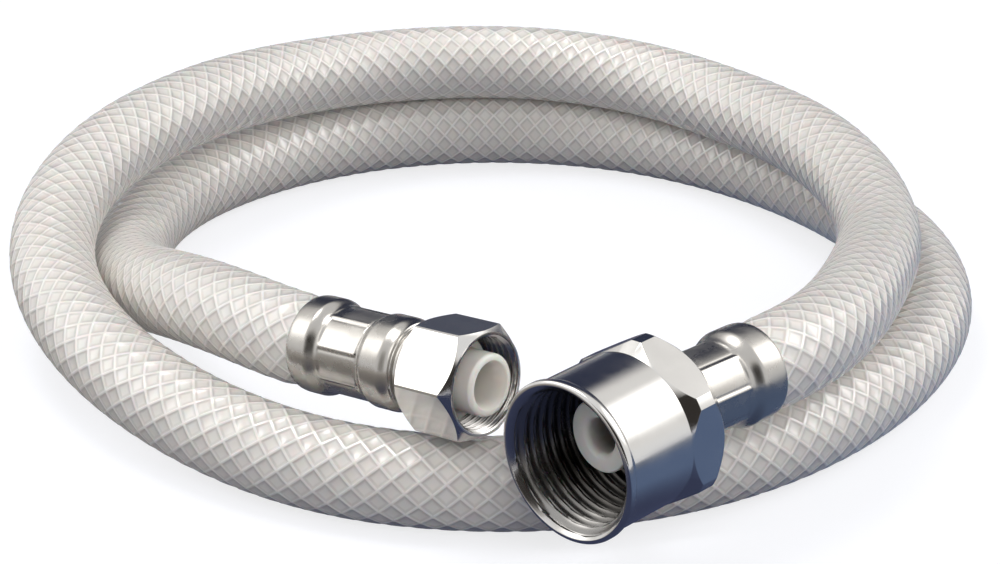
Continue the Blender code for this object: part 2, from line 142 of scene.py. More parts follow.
def smooth_curve(knots):
    """Natural cubic spline through the knots, as a function of the length along them."""
    knots = np.array(knots, dtype=float)
    steps = np.linalg.norm(np.diff(knots, axis=0), axis=1)
    marks = np.concatenate(([0.0], np.cumsum(steps)))
    count = len(knots)
    system = np.eye(count)
    target = np.zeros((count, 3))
    for i in range(1, count - 1):
        before, after = steps[i - 1], steps[i]
        system[i, i - 1:i + 2] = before, 2 * (before + after), after
        target[i] = 6 * ((knots[i + 1] - knots[i]) / after - (knots[i] - knots[i - 1]) / before)
    bend = np.linalg.solve(system, target)

    def place(mark):
        i = np.clip(np.searchsorted(marks, mark) - 1, 0, count - 2)
        width = steps[i][:, None]
        left = (marks[i + 1] - mark)[:, None]
        right = (mark - marks[i])[:, None]
        return (bend[i] * left ** 3 / (6 * width) + bend[i + 1] * right ** 3 / (6 * width)
                + (knots[i] / width - bend[i] * width / 6) * left
                + (knots[i + 1] / width - bend[i + 1] * width / 6) * right)

    return place, marks[-1]


place_on_route, hose_length = smooth_curve(route)
stations = np.linspace(0.0, hose_length, round(hose_length / FRAME_STEP) + 1)
middle = place_on_route(stations)
middle[:, 2] = np.maximum(middle[:, 2], SKIN + CROSSING + OFF_FLOOR)
heading = np.gradient(middle, axis=0)
heading /= np.linalg.norm(heading, axis=1)[:, None]
across = np.zeros_like(middle)
carried = np.cross(heading[0], (0.0, 0.0, 1.0))
for i, way in enumerate(heading):
    carried = carried - np.dot(carried, way) * way
    carried /= np.linalg.norm(carried)
    across[i] = carried
upward = np.cross(heading, across)


def bent_along_route(straight):
    """Places points of the straight hose (along X, around Y and Z) on the route."""
    mark = np.clip(straight[:, 0], 0.0, hose_length)
    spots = []
    for line in (middle, across, upward):
        spots.append(np.stack([np.interp(mark, stations, line[:, k]) for k in range(3)], 1))
    return spots[0] + spots[1] * straight[:, 1:2] + spots[2] * straight[:, 2:3]


def hose_squeeze(mark):
    """Share of its free radius that the hose keeps under the crimped ferrules."""
    crimped = CRIMPED_RADIUS / (HOSE_DIAMETER / 2)
    lip = LIP_RADIUS / (HOSE_DIAMETER / 2)
    small_lip = SMALL_GRIP[1] - SMALL_GRIP[0]
    large_lip = hose_length - (LARGE_GRIP[1] - LARGE_GRIP[0])
    marks = (0.0, small_lip - BEAD_LENGTH, small_lip, small_lip + SPRING_BACK,
             large_lip - SPRING_BACK, large_lip, large_lip + BEAD_LENGTH, hose_length)
    return np.interp(mark, marks, (crimped, crimped, lip, 1.0, 1.0, lip, crimped, crimped))


def lattice_mark(index):
    whole, part = divmod(index, len(LATTICE))
    return whole + LATTICE[part]


shape = bmesh.new()
threads_map = shape.loops.layers.uv.new("braid")
per_turn = len(LATTICE) * THREADS
corners = {}


def lattice_corner(i, j):
    """Corner of the braid's lattice, where i and j count along the two ways of threads."""
    turns = (i - j) // (2 * per_turn)
    i, j = i - turns * per_turn, j + turns * per_turn
    if (i, j) not in corners:
        a, b = lattice_mark(i), lattice_mark(j)
        on_rib = (i % len(LATTICE) == 0) + (j % len(LATTICE) == 0)
        out = SKIN + (0.0, RIB, CROSSING)[on_rib]
        if i % len(LATTICE) == j % len(LATTICE) == LATTICE.index(CELL_MIDDLE):
            out += PILLOW
        round_it = math.pi * (a - b) / THREADS
        corners[i, j] = shape.verts.new((THREAD_PITCH * (a + b) / 2,
                                         out * math.cos(round_it), out * math.sin(round_it)))
    return corners[i, j]


last_row = 2 * len(LATTICE) * math.ceil(hose_length / THREAD_PITCH + 1)
for total in range(-2 * len(LATTICE), last_row):
    for difference in range(total % 2, 2 * per_turn, 2):
        i, j = (total + difference) // 2, (total - difference) // 2
        steps = ((0, 0), (1, 0), (1, 1), (0, 1))
        face = shape.faces.new([lattice_corner(i + di, j + dj) for di, dj in steps])
        for loop, (di, dj) in zip(face.loops, steps):
            loop[threads_map].uv = (lattice_mark(i + di), lattice_mark(j + dj))

rims = []
for mark, out_of in ((0.0, True), (hose_length, False)):
    everything = shape.verts[:] + shape.edges[:] + shape.faces[:]
    cut = bmesh.ops.bisect_plane(shape, geom=everything, plane_co=(mark, 0, 0), dist=1e-7,
                                 plane_no=(1, 0, 0), clear_inner=out_of, clear_outer=not out_of)
    rims.append([e for e in cut["geom_cut"] if isinstance(e, bmesh.types.BMEdge)])

bore_rings = []
for mark in np.linspace(0.0, hose_length, round(hose_length / BORE_STEP) + 1):
    ring = []
    for k in range(BORE_SIDES):
        turn = math.tau * k / BORE_SIDES
        ring.append(shape.verts.new((mark, HOSE_BORE / 2 * math.cos(turn),
                                     HOSE_BORE / 2 * math.sin(turn))))
    bore_rings.append(ring)
for before, after in zip(bore_rings, bore_rings[1:]):
    for k in range(BORE_SIDES):
        n = (k + 1) % BORE_SIDES
        shape.faces.new((before[k], before[n], after[n], after[k]))
for rim, ring in zip(rims, (bore_rings[0], bore_rings[-1])):
    rim_of_bore = [shape.edges.get((ring[k - 1], ring[k])) for k in range(BORE_SIDES)]
    bmesh.ops.triangle_fill(shape, edges=[e for e in rim if e.is_valid] + rim_of_bore,
                            use_beauty=True, normal=(1, 0, 0))
bmesh.ops.recalc_face_normals(shape, faces=shape.faces)

straight = np.array([v.co for v in shape.verts])
outside = np.hypot(straight[:, 1], straight[:, 2]) > (HOSE_BORE / 2 + SKIN) / 2
straight[outside, 1:] *= hose_squeeze(straight[outside, 0])[:, None]
for vertex, spot in zip(shape.verts, bent_along_route(straight)):
    vertex.co = spot
hose_mesh = bpy.data.meshes.new("braided_hose")
shape.to_mesh(hose_mesh)
shape.free()
hose_mesh.shade_smooth()
hose = bpy.data.objects.new("braided_hose", hose_mesh)
bpy.context.scene.collection.objects.link(hose)


def feed(tree, node, inputs):
    """Gives a shader node its inputs, by name or number: values, or sockets to link."""
    for name, value in inputs.items():
        if isinstance(value, bpy.types.NodeSocket):
            tree.links.new(value, node.inputs[name])
        else:
            node.inputs[name].default_value = value


def put(tree, kind, inputs=None, **settings):
    """Adds a shader node with its settings and inputs."""
    made = tree.nodes.new(kind)
    for name, value in settings.items():
        setattr(made, name, value)
    feed(tree, made, inputs or {})
    return made


def calc(tree, operation, *values):
    return put(tree, "ShaderNodeMath", dict(enumerate(values)), operation=operation).outputs[0]


def fade(tree, value, start, end, low=0.0, high=1.0):
    """Goes smoothly from low to high while a value goes from start to end."""
    step = put(tree, "ShaderNodeMapRange", {"Value": value, "From Min": start, "From Max": end,
               "To Min": low, "To Max": high}, interpolation_type="SMOOTHSTEP")
    return step.outputs[0]


def blend(tree, mask, first, second):
    """Colour between two others, each a colour or a socket, by a mask."""
    mixed = put(tree, "ShaderNodeMix", {"Factor": mask, "A": first, "B": second},
                data_type="RGBA")
    return mixed.outputs["Result"]


def cloud(tree, scale, detail=2.0, roughness=0.5):
    """Noise that stays on the piece, because it reads the piece's own coordinates."""
    spot = put(tree, "ShaderNodeTexCoord").outputs["Object"]
    return put(tree, "ShaderNodeTexNoise", {"Vector": spot, "Scale": scale, "Detail": detail,
               "Roughness": roughness}).outputs[0]


def bump(tree, height, strength, distance, under=None):
    """Normal of a height, on top of the normal under it if there is one."""
    inputs = {"Height": height, "Strength": strength, "Distance": distance}
    if under is not None:
        inputs["Normal"] = under
    return put(tree, "ShaderNodeBump", inputs).outputs[0]


def new_material(name):
    material = bpy.data.materials.new(name)
    material.use_nodes = True
    return material, material.node_tree, material.node_tree.nodes["Principled BSDF"]


pvc, tree, shader = new_material("clear_braided_pvc")
ways = put(tree, "ShaderNodeSeparateXYZ", {
    0: put(tree, "ShaderNodeUVMap", uv_map="braid").outputs[0]}).outputs
off_thread = calc(tree, "MINIMUM", calc(tree, "PINGPONG", ways["X"], CELL_MIDDLE),
                  calc(tree, "PINGPONG", ways["Y"], CELL_MIDDLE))
tone = blend(tree, cloud(tree, 90.0, detail=3.0), PVC_DIM, PVC_PALE)
# A line of painted shade along each thread's foot
tone = blend(tree, fade(tree, off_thread, *FOOT_SHADE_FADE, 1.0, 0.0), tone, THREAD_FOOT_SHADE)
tone = blend(tree, fade(tree, off_thread, *THREAD_FADE, 1.0, 0.0), tone, THREAD_WHITE)
thread_bump = bump(tree, fade(tree, off_thread, *ROUND_FADE, 1.0, 0.0), 0.6, 0.12 * MM)
feed(tree, shader, {
    "Base Color": tone, "Roughness": 0.3, "Coat Weight": 1.0, "Coat Roughness": 0.08,
    "Subsurface Weight": 0.2, "Subsurface Scale": 1.2 * MM,
    "Normal": bump(tree, cloud(tree, 520.0), 0.25, 0.05 * MM, under=thread_bump)})
hose_mesh.materials.append(pvc)
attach(hose, "line")
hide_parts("hose")

# Inserts: one milky moulding for each end, with a rounded nose in the nut's mouth, a
# collar that holds the nut, a neck that it turns on and a barbed shank inside the hose.
INSERT_STEPS = 96
SMOOTH_ANGLE = math.radians(30)
# All that follows for the fittings is in millimetres, and places along them count from the
# rim of the small nut's mouth and from the large nut's seat
SMALL_TIP = -0.9
SMALL_LENGTH = 10.4
LARGE_TIP = -9.6
LARGE_WEB = 2.8
TILT_ROOM = 0.6
INSERT_BORE = 3.0
BORE_TAPER = 6.0
NECK = 4.4
GROOVE = 3.8
GROOVE_WIDTH = 1.0
INNER_CORNER = 0.4
COLLAR_EDGE = 0.3
BARBS = 4
BARB_PITCH = 3.6
BARB_TOP = 4.2
BARB_ROOT = 3.75

MILK_DIM = (0.84, 0.81, 0.75, 1)
MILK_PALE = (0.91, 0.89, 0.84, 1)
# Colour of the painted shade deep in a bore
BORE_SHADE = (0.20, 0.165, 0.14, 1)
# Painted shade darkens the bore from this far behind the tip, over this depth, by these shares
SHADE_FROM = 0.3
SHADE_DEPTH = 3.0
SMALL_SHADE = 0.3
LARGE_SHADE = 0.9


def turned(name, rings, steps):
    """Closed body turned about the Z axis: a circle is drawn out from ring to ring, each
    given as (along, out) in millimetres, until it meets its start."""
    along, out = rings[0]
    bpy.ops.mesh.primitive_circle_add(vertices=steps, radius=out * MM,
                                      location=(0, 0, along * MM))
    piece = bpy.context.object
    piece.name = piece.data.name = name
    bpy.ops.object.transform_apply()
    bpy.ops.object.mode_set(mode="EDIT")
    bpy.ops.mesh.select_all(action="SELECT")
    for (z0, r0), (z1, r1) in zip(rings, rings[1:] + rings[:1]):
        bpy.ops.mesh.extrude_region_move(
            TRANSFORM_OT_translate={"value": (0, 0, (z1 - z0) * MM)})
        bpy.ops.transform.resize(value=(r1 / r0, r1 / r0, 1),
                                 center_override=(0, 0, z1 * MM))
    bpy.ops.mesh.select_all(action="SELECT")
    bpy.ops.mesh.remove_doubles(threshold=1e-6)
    bpy.ops.mesh.normals_make_consistent(inside=False)
    bpy.ops.object.mode_set(mode="OBJECT")
    return piece


def rounded(middle, radius, start, end, steps=8):
    """Rings of a round corner about middle, an (along, out) point; angles in degrees."""
    angles = np.radians(np.linspace(start, end, steps + 1))
    return [(middle[0] + radius * math.cos(a), middle[1] + radius * math.sin(a))
            for a in angles]


def settle(piece, fitting):
    """Shades a finished piece, takes it to its fitting's place and leaves it at the origin."""
    bpy.ops.object.select_all(action="DESELECT")
    piece.select_set(True)
    bpy.context.view_layer.objects.active = piece
    bpy.ops.object.shade_smooth_by_angle(angle=SMOOTH_ANGLE)
    evened = piece.modifiers.new("evened", "WEIGHTED_NORMAL")
    evened.keep_sharp = True
    bpy.ops.object.modifier_apply(modifier="evened")
    piece.data.transform(fitting)
    bpy.ops.object.select_all(action="DESELECT")


def insert_rings(tip, bore_mouth, nose, face, nose_end, collar, collar_end, neck_end, cone):
    """Rings of an insert from its bore's mouth over the nose and back to the shank's tip."""
    corner, edge = INNER_CORNER, COLLAR_EDGE
    rings = [(tip + BORE_TAPER, INSERT_BORE)] + bore_mouth
    rings += rounded((tip + nose - face, face), nose - face, 180, 90, 5)
    rings.append((nose_end - corner, nose))
    rings += rounded((nose_end - corner, nose + corner), corner, 270, 360, 4)
    rings += rounded((nose_end + edge, collar - edge), edge, 180, 90, 4)
    rings += [(collar_end - cone, collar), (collar_end, NECK + cone), (collar_end, NECK)]
    shank = neck_end + GROOVE_WIDTH
    rings += [(neck_end, NECK), (neck_end, GROOVE), (shank, GROOVE)]
    for barb in range(BARBS):
        start = shank + barb * BARB_PITCH
        rings += [(start, BARB_TOP), (start + BARB_PITCH, BARB_ROOT)]
    rings.append((rings[-1][0], INSERT_BORE))
    return rings


milky, tree, shader = new_material("milky_plastic")
flow = cloud(tree, 260.0, detail=4.0)
# The bore attribute carries painted shade, darker deeper in the bore
depth_shade = put(tree, "ShaderNodeAttribute", attribute_name="bore")
gloss = put(tree, "ShaderNodeMapRange", {"Value": flow, "To Min": 0.34, "To Max": 0.46})
tone = blend(tree, flow, MILK_DIM, MILK_PALE)
feed(tree, shader, {
    "Base Color": blend(tree, depth_shade.outputs["Fac"], tone, BORE_SHADE),
    "Roughness": gloss.outputs[0], "Subsurface Weight": 0.35, "Subsurface Scale": 1.5 * MM,
    "Normal": bump(tree, cloud(tree, 2600.0), 0.15, 0.02 * MM)})

# The small bore widens in a funnel, and the large one narrows behind a round edge.
small_mouth = [(1.4, INSERT_BORE), (0.5, INSERT_BORE + 0.12), (-0.3, INSERT_BORE + 0.32)]
small_mouth += rounded((-0.65, INSERT_BORE + 0.7), 0.25, 250, 180, 5)
small_insert = turned("small_nose_insert", insert_rings(
    tip=SMALL_TIP, bore_mouth=small_mouth, nose=4.5, face=3.9, nose_end=5.1, collar=6.15,
    collar_end=7.3, neck_end=10.7, cone=0.0,
), INSERT_STEPS)
large_mouth = [(-6.6, 2.6)] + rounded((-8.7, 3.4), 0.9, 270, 180)
large_insert = turned("large_nose_insert", insert_rings(
    tip=LARGE_TIP, bore_mouth=large_mouth, nose=5.15, face=4.85, nose_end=-2.6, collar=8.2,
    collar_end=-0.6, neck_end=LARGE_WEB + TILT_ROOM, cone=0.6,
), INSERT_STEPS)
for piece, node, fitting, tip, painted_shade in (
        (small_insert, "small_insert", small_frame, SMALL_TIP, SMALL_SHADE),
        (large_insert, "large_insert", large_frame, LARGE_TIP, LARGE_SHADE)):
    # Painted shade in the bore, darker with depth behind the tip
    bore = piece.data.attributes.new("bore", "FLOAT", "POINT")
    for vertex in piece.data.vertices:
        if math.hypot(vertex.co.x, vertex.co.y) < (INSERT_BORE + 0.2) * MM:
            depth = (vertex.co.z / MM - tip - SHADE_FROM) / SHADE_DEPTH
            bore.data[vertex.index].value = painted_shade * min(max(depth, 0.0), 1.0)
    settle(piece, fitting)
    piece.data.materials.append(milky)
    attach(piece, "line")
    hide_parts(node)

# Ferrules: thin tube pressed to a bead at the hose's side, with a flange held in the
# insert's groove. Eight dies have crimped each one on to the hose and left a crease between
# each pair: a thin ridge with a sharp line beside it.
FERRULE_STEPS = 360
FERRULE_WALL = 0.4
FERRULE_HOLE = GROOVE + 0.3
CRIMP = 6.35
BULGE = 6.85
BEAD = 7.15
LIP = 6.95
LIP_LENGTH = 1.2
SMALL_SHELL = 20.8
LARGE_SHELL = 16.8

# Rounded edge of a flange, the ring grooves beside the small one and the bite of the dies'
# edges, each as steps along and how far they stand off the crimp
FLANGE_EDGE = ((0.0, -0.25), (0.08, -0.08), (0.25, 0.0))
RING_GROOVES = ((0.75, 0.02), (0.9, -0.1), (1.0, -0.35), (1.15, -0.38), (1.25, -0.12),
                (1.35, 0.0), (1.5, -0.02), (1.6, -0.2), (1.7, -0.2))
BITE = ((0.05, -0.07), (0.15, -0.12), (0.25, -0.10), (0.35, -0.03), (0.45, 0.0), (0.7, 0.0))

# What the dies leave: flats, and at each joint a ridge and a line; widths in degrees
DIES = 8
DIE_FLATNESS = 0.32
DIE_EDGE = 0.45
RIDGE = 0.07
RIDGE_WIDTH = 3.0
LINE = 0.08
LINE_WIDTH = 2.2
LINE_OFF = 5.0
SMALL_DIES_TURN = 158.0
LARGE_DIES_TURN = 212.0

STEEL_DIM = (0.43, 0.415, 0.395, 1)
STEEL_PALE = (0.51, 0.495, 0.47, 1)


def by_crimp(start, steps):
    return [(start + step, CRIMP + off) for step, off in steps]


def swelling(start, end, steps):
    """Rings of a smooth S-curve between two (along, out) points, level at both ends."""
    rings = []
    for t in np.linspace(0, 1, steps + 1):
        ease = 0.5 - 0.5 * math.cos(math.pi * t)
        rings.append((start[0] + (end[0] - start[0]) * t, start[1] + (end[1] - start[1]) * ease))
    return rings


def bead_rings(crimp_end, rise_end, end):
    """Rings of the bead at the hose's side, from the crimp to its thin rounded lip."""
    rings = swelling((crimp_end, CRIMP), (rise_end, BEAD), 12)
    for turn in np.radians(np.linspace(0, 90, 9)[1:]):
        rings.append((end - LIP_LENGTH + LIP_LENGTH * math.sin(turn),
                      LIP + (BEAD - LIP) * math.cos(turn)))
    return rings


def crimped_rings(crimp_from, crimp_to):
    """Rings of the crimped waist, close together at its ends where the dies' edges bite."""
    rings = by_crimp(crimp_from, BITE)
    rings += [(along, CRIMP) for along in np.linspace(crimp_from + 1.5, crimp_to - 1.5, 3)]
    return rings + [(crimp_to - step, CRIMP) for step in (0.7, 0.45, 0.3, 0.15)]


def smooth_step(t):
    t = min(max(t, 0.0), 1.0)
    return t * t * (3.0 - 2.0 * t)


def die_mark(angle):
    """How far the dies leave the shell off its round at an angle from their first joint."""
    half = 180 / DIES
    off = (angle + half) % (2 * half) - half
    flat = math.cos(math.radians(half)) / math.cos(math.radians(half - abs(off)))
    ridge = RIDGE * math.exp(-(off / RIDGE_WIDTH) ** 2)
    line = LINE * math.exp(-((off + LINE_OFF) / LINE_WIDTH) ** 2)
    return CRIMP * DIE_FLATNESS * (flat - 1.0) + ridge - line


def make_ferrule(name, start, outside, crimp_from, crimp_to, dies_turn, fitting):
    """Shell of one thickness inside the outside rings, then pressed by the dies."""
    flange = start + FERRULE_WALL
    inside = [(along, out - FERRULE_WALL) for along, out in outside if along > flange]
    rings = [(start, FERRULE_HOLE)] + outside + inside[::-1]
    rings += [(flange, inside[0][1]), (flange, FERRULE_HOLE)]
    shell = turned(name, rings, FERRULE_STEPS)
    for vertex in shell.data.vertices:
        along = vertex.co.z / MM
        out = math.hypot(vertex.co.x, vertex.co.y)
        from_edge = min(along - crimp_from, crimp_to - along)
        if from_edge <= 0 or out < (CRIMP - FERRULE_WALL / 2) * MM:
            continue
        angle = math.degrees(math.atan2(vertex.co.y, vertex.co.x)) - dies_turn
        grow = (out + die_mark(angle) * smooth_step(from_edge / DIE_EDGE) * MM) / out
        vertex.co.x *= grow
        vertex.co.y *= grow
    settle(shell, fitting)
    return shell


start = SMALL_LENGTH + 0.6
end = start + SMALL_SHELL
crimp_from, crimp_to = start + 7.9, end - 5.2
outside = by_crimp(start, FLANGE_EDGE + RING_GROOVES)
outside += swelling((start + 1.85, CRIMP + 0.05), (start + 3.8, BULGE), 10)
outside += swelling((start + 6.6, BULGE), (crimp_from, CRIMP), 10)
outside += crimped_rings(crimp_from, crimp_to)
outside += bead_rings(crimp_to, end - 3.2, end)
small_ferrule = make_ferrule("small_crimped_ferrule", start, outside, crimp_from, crimp_to,
                             SMALL_DIES_TURN, small_frame)
start = LARGE_WEB + TILT_ROOM + 0.3
end = start + LARGE_SHELL
crimp_from, crimp_to = start + 1.6, end - 6.4
outside = by_crimp(start, FLANGE_EDGE)
outside += [(start + step, CRIMP) for step in (0.7, 1.2, 1.45, 1.6)]
outside += crimped_rings(crimp_from, crimp_to)
outside += bead_rings(crimp_to, end - 4.0, end)
large_ferrule = make_ferrule("large_crimped_ferrule", start, outside, crimp_from, crimp_to,
                             LARGE_DIES_TURN, large_frame)

# Marks that polished metal picks up: faint smudges and tiny dents
marks = bpy.data.node_groups.new("polish_marks", "ShaderNodeTree")
for way, names in (("INPUT", ("Smudges", "Polish")), ("OUTPUT", ("Roughness", "Height", "Mask"))):
    for name in names:
        marks.interface.new_socket(name, in_out=way, socket_type="NodeSocketFloat")
given = put(marks, "NodeGroupInput").outputs
smudge = cloud(marks, 170.0, detail=5.0, roughness=0.6)
spread = calc(marks, "MULTIPLY", fade(marks, smudge, 0.42, 0.68), given["Smudges"])
put(marks, "NodeGroupOutput", {"Roughness": calc(marks, "ADD", spread, given["Polish"]),
    "Height": cloud(marks, 420.0), "Mask": smudge})

pressed, tree, shader = new_material("pressed_plated_steel")
wear = put(tree, "ShaderNodeGroup", {"Smudges": 0.14, "Polish": 0.22}, node_tree=marks).outputs
feed(tree, shader, {
    "Base Color": blend(tree, wear["Mask"], STEEL_DIM, STEEL_PALE), "Metallic": 1.0,
    "Roughness": wear["Roughness"], "Normal": bump(tree, wear["Height"], 0.3, 0.05 * MM)})
for piece, node in ((small_ferrule, "small_ferrule"), (large_ferrule, "large_ferrule")):
    piece.data.materials.append(pressed)
    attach(piece, "line")
    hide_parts(node)

# Nuts: turned from bar and nickel plated, a small hexagon and a large one with a round
# skirt. Each is a turned blank whose flats are milled and whose edges are eased, and then
# a right-hand thread is cut in its mouth. The large one's lip flares.
NUT_STEPS = 192
ROWS_PER_PITCH = 16
MOUTH_RINGS = 9
BAR_LENGTH = 90.0
EASED = 0.12
EASED_ANGLE = math.radians(24)
# Share of a pitch that the flanks take, and the length over which the thread runs out
FLANKS = 0.8
RUN_OUT = 0.8
# Depths at which painted shade darkens the inside, at first and in all
SHADE_LIP = 1.2
SHADE_BORE = 9.0

SMALL_FLATS = 15.3
SMALL_TURN = 4.9
SMALL_SEAT = 7.6
SMALL_HOLE = 4.9
SMALL_BORE = 6.55
SMALL_FACE = 7.0
SMALL_MOUTH = 0.45
SMALL_PITCH = 1.06
SMALL_THREAD = 0.5
SMALL_OUTSIDE = [(0.0, 7.42), (0.4, 7.65), (1.3, 8.73), (9.2, 8.73), (10.4, 7.3),
                 (10.4, SMALL_HOLE)]

LARGE_FLATS = 22.4
LARGE_TURN = 28.5
LARGE_REAR = 20.2
LARGE_SEAT = LARGE_REAR - LARGE_WEB
LARGE_HOLE = 5.4
LARGE_BORE = 9.6
LARGE_FACE = 10.7
LARGE_MOUTH = 1.2
LARGE_PITCH = 1.81
LARGE_THREAD = 0.95
SKIRT = 11.15
CORNERS = 12.48
REAR_RECESS = 8.2
LIP_ROUND = 0.4
LARGE_OUTSIDE = [(13.0, SKIRT), (14.75, CORNERS), (17.6, CORNERS), (19.4, SKIRT),
                 (19.4, REAR_RECESS), (LARGE_REAR, REAR_RECESS), (LARGE_REAR, LARGE_HOLE)]
# The flare's height, its length and the part of it that bends, and where it starts inside
FLARE = 0.4
FLARE_LENGTH = 1.9
FLARE_BEND = 0.9
FLARE_INSIDE = 10.2

NICKEL_DIM = (0.62, 0.61, 0.60, 1)
NICKEL_PALE = (0.70, 0.69, 0.675, 1)
# Colour of the painted shade deep inside a nut
NICKEL_SHADE = (0.10, 0.095, 0.09, 1)


def bore_rings_of(seat, mouth, bore, face, pitch):
    """Close rings from a nut's seat to its mouth, for the thread to be cut in."""
    count = round((seat - mouth) / pitch * ROWS_PER_PITCH)
    rings = [(seat, bore)]
    rings += [(along, bore) for along in np.linspace(seat - 0.3, mouth + 0.2, count)]
    share = np.linspace(0.0, 1.0, MOUTH_RINGS)
    return rings + [(mouth * (1 - t), bore + (face - bore) * t) for t in share]


def mill_flats(nut, across_flats, first_flat):
    """Leaves what a turned blank shares with a hexagon bar, and eases the edges."""
    bpy.ops.object.select_all(action="DESELECT")
    bpy.ops.mesh.primitive_cylinder_add(vertices=6, radius=across_flats / math.sqrt(3) * MM,
                                        depth=BAR_LENGTH * MM)
    bar = bpy.context.object
    bar.data.transform(Matrix.Rotation(math.radians(first_flat + 30 - 90), 4, "Z"))
    bpy.context.view_layer.objects.active = nut
    flats = nut.modifiers.new("flats", "BOOLEAN")
    flats.operation = "INTERSECT"
    flats.solver = "EXACT"
    flats.object = bar
    bpy.ops.object.modifier_apply(modifier="flats")
    bpy.data.objects.remove(bar, do_unlink=True)
    edges = nut.modifiers.new("edges", "BEVEL")
    edges.width = EASED * MM
    edges.segments = 2
    edges.limit_method = "ANGLE"
    edges.angle_limit = EASED_ANGLE
    bpy.ops.object.modifier_apply(modifier="edges")


def cut_thread(nut, bore, face, seat, pitch, depth, rim=0.0):
    """Moves the bore's rows out into a right-hand groove that runs out before the seat, and notes
    on each point a painted shade that grows with how far inside the nut it lies. The rim is where
    its mouth starts."""
    inside = nut.data.attributes.new("inside", "FLOAT", "POINT")
    for vertex in nut.data.vertices:
        out = math.hypot(vertex.co.x, vertex.co.y) / MM
        along = vertex.co.z / MM - rim
        if out > face + 0.01 or along > seat + 0.1:
            continue
        # Painted shade, darker deeper inside the nut
        painted_shade = 0.5 * min(along / SHADE_LIP, 1.0) + 0.5 * min(along / SHADE_BORE, 1.0)
        inside.data[vertex.index].value = painted_shade
        phase = (along / pitch - math.atan2(vertex.co.y, vertex.co.x) / math.tau) % 1.0
        groove = smooth_step((1.0 - abs(2.0 * phase - 1.0)) / FLANKS)
        fading = min(max((seat - RUN_OUT - along) / RUN_OUT, 0.0), 1.0)
        wanted = bore + depth * groove * fading
        if bore - 0.05 < out < wanted:
            vertex.co.x *= wanted / out
            vertex.co.y *= wanted / out


small_blank = [(SMALL_SEAT, SMALL_HOLE)]
small_blank += bore_rings_of(SMALL_SEAT, SMALL_MOUTH, SMALL_BORE, SMALL_FACE, SMALL_PITCH)
small_nut = turned("small_hexagon_nut", small_blank + SMALL_OUTSIDE, NUT_STEPS)
mill_flats(small_nut, SMALL_FLATS, SMALL_TURN)
cut_thread(small_nut, SMALL_BORE, SMALL_FACE, SMALL_SEAT, SMALL_PITCH, SMALL_THREAD)
settle(small_nut, small_frame)

large_blank = [(LARGE_SEAT, LARGE_HOLE)]
large_blank += bore_rings_of(LARGE_SEAT, LARGE_MOUTH, LARGE_BORE, LARGE_FACE, LARGE_PITCH)
large_blank += rounded((LIP_ROUND, SKIRT - LIP_ROUND), LIP_ROUND, 180, 90, 6)
large_blank += [(along, SKIRT) for along in (0.7, 1.0, 1.2, 1.4, 1.6, FLARE_LENGTH)]
large_blank = [(along - LARGE_SEAT, out) for along, out in large_blank + LARGE_OUTSIDE]
large_nut = turned("large_skirted_nut", large_blank, NUT_STEPS)
mill_flats(large_nut, LARGE_FLATS, LARGE_TURN)
cut_thread(large_nut, LARGE_BORE, LARGE_FACE, LARGE_SEAT, LARGE_PITCH, LARGE_THREAD,
           rim=-LARGE_SEAT)
for vertex in large_nut.data.vertices:
    along = vertex.co.z / MM + LARGE_SEAT
    out = math.hypot(vertex.co.x, vertex.co.y) / MM
    share = min(max((out - FLARE_INSIDE) / (SKIRT - FLARE_INSIDE), 0.0), 1.0)
    bend = smooth_step((FLARE_LENGTH - along) / FLARE_BEND)
    flare = 1.0 + FLARE * share * bend / out
    vertex.co.x *= flare
    vertex.co.y *= flare
settle(large_nut, large_nut_frame)

plated, tree, shader = new_material("polished_nickel_plating")
wear = put(tree, "ShaderNodeGroup", {"Smudges": 0.07, "Polish": 0.13}, node_tree=marks).outputs
# Painted shade inside the nut, darker with depth
depth_shade = put(tree, "ShaderNodeAttribute", attribute_name="inside").outputs["Fac"]
tone = blend(tree, wear["Mask"], NICKEL_DIM, NICKEL_PALE)
feed(tree, shader, {
    "Base Color": blend(tree, depth_shade, tone, NICKEL_SHADE), "Metallic": 1.0,
    "Roughness": calc(tree, "MULTIPLY_ADD", depth_shade, 0.12, wear["Roughness"]),
    "Normal": bump(tree, wear["Height"], 0.12, 0.03 * MM)})
for piece, node, body in ((small_nut, "small_nut", "small_swivel"),
                          (large_nut, "large_nut", "large_swivel")):
    piece.data.materials.append(plated)
    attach(piece, body)
    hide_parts(node)

# Studio: a pale floor that keeps the coil's shadow and shows white, soft boxes at both
# sides and overhead, a lamp in front, and cards that only gloss mirrors: one behind the
# coil, one at the camera and one on the floor. Lengths in metres.
FLOOR_SIZE = 6.0
FLOOR_GREY = (0.27, 0.28, 0.32, 1)
FLOOR_GLOW = 0.76
ROOM_GREY = (0.22, 0.23, 0.26, 1)
WHITE = (1, 1, 1, 1)
BOX_WHITE = (1.0, 0.985, 0.96, 1)
BRIGHT = (1.0, 0.98, 0.95)
SLATE = (0.20, 0.21, 0.25)
NAVY = (0.036, 0.044, 0.080)
SOOT = (0.045, 0.040, 0.036)
GREY = (0.5, 0.5, 0.5)
WARM_GREY = (0.6, 0.58, 0.55)
DEEP_BLUE = (0.05, 0.06, 0.115)
STEEL_BLUE = (0.12, 0.17, 0.29)
DULL_BLUE = (0.17, 0.20, 0.27)
TAUPE = (0.30, 0.28, 0.26)
SAND = (0.60, 0.56, 0.52)
STONE = (0.55, 0.54, 0.52)
DUSK = (0.22, 0.23, 0.27)


def seen_white(tree):
    """Mask of the rays that see the background: from the camera, off metal, through glass."""
    seen = put(tree, "ShaderNodeLightPath").outputs
    metal = calc(tree, "MAXIMUM", seen["Is Camera Ray"], seen["Is Glossy Ray"])
    return calc(tree, "MAXIMUM", metal, seen["Is Transmission Ray"])


def surface(tree, shader):
    tree.links.new(shader.outputs[0], tree.nodes["Material Output"].inputs["Surface"])


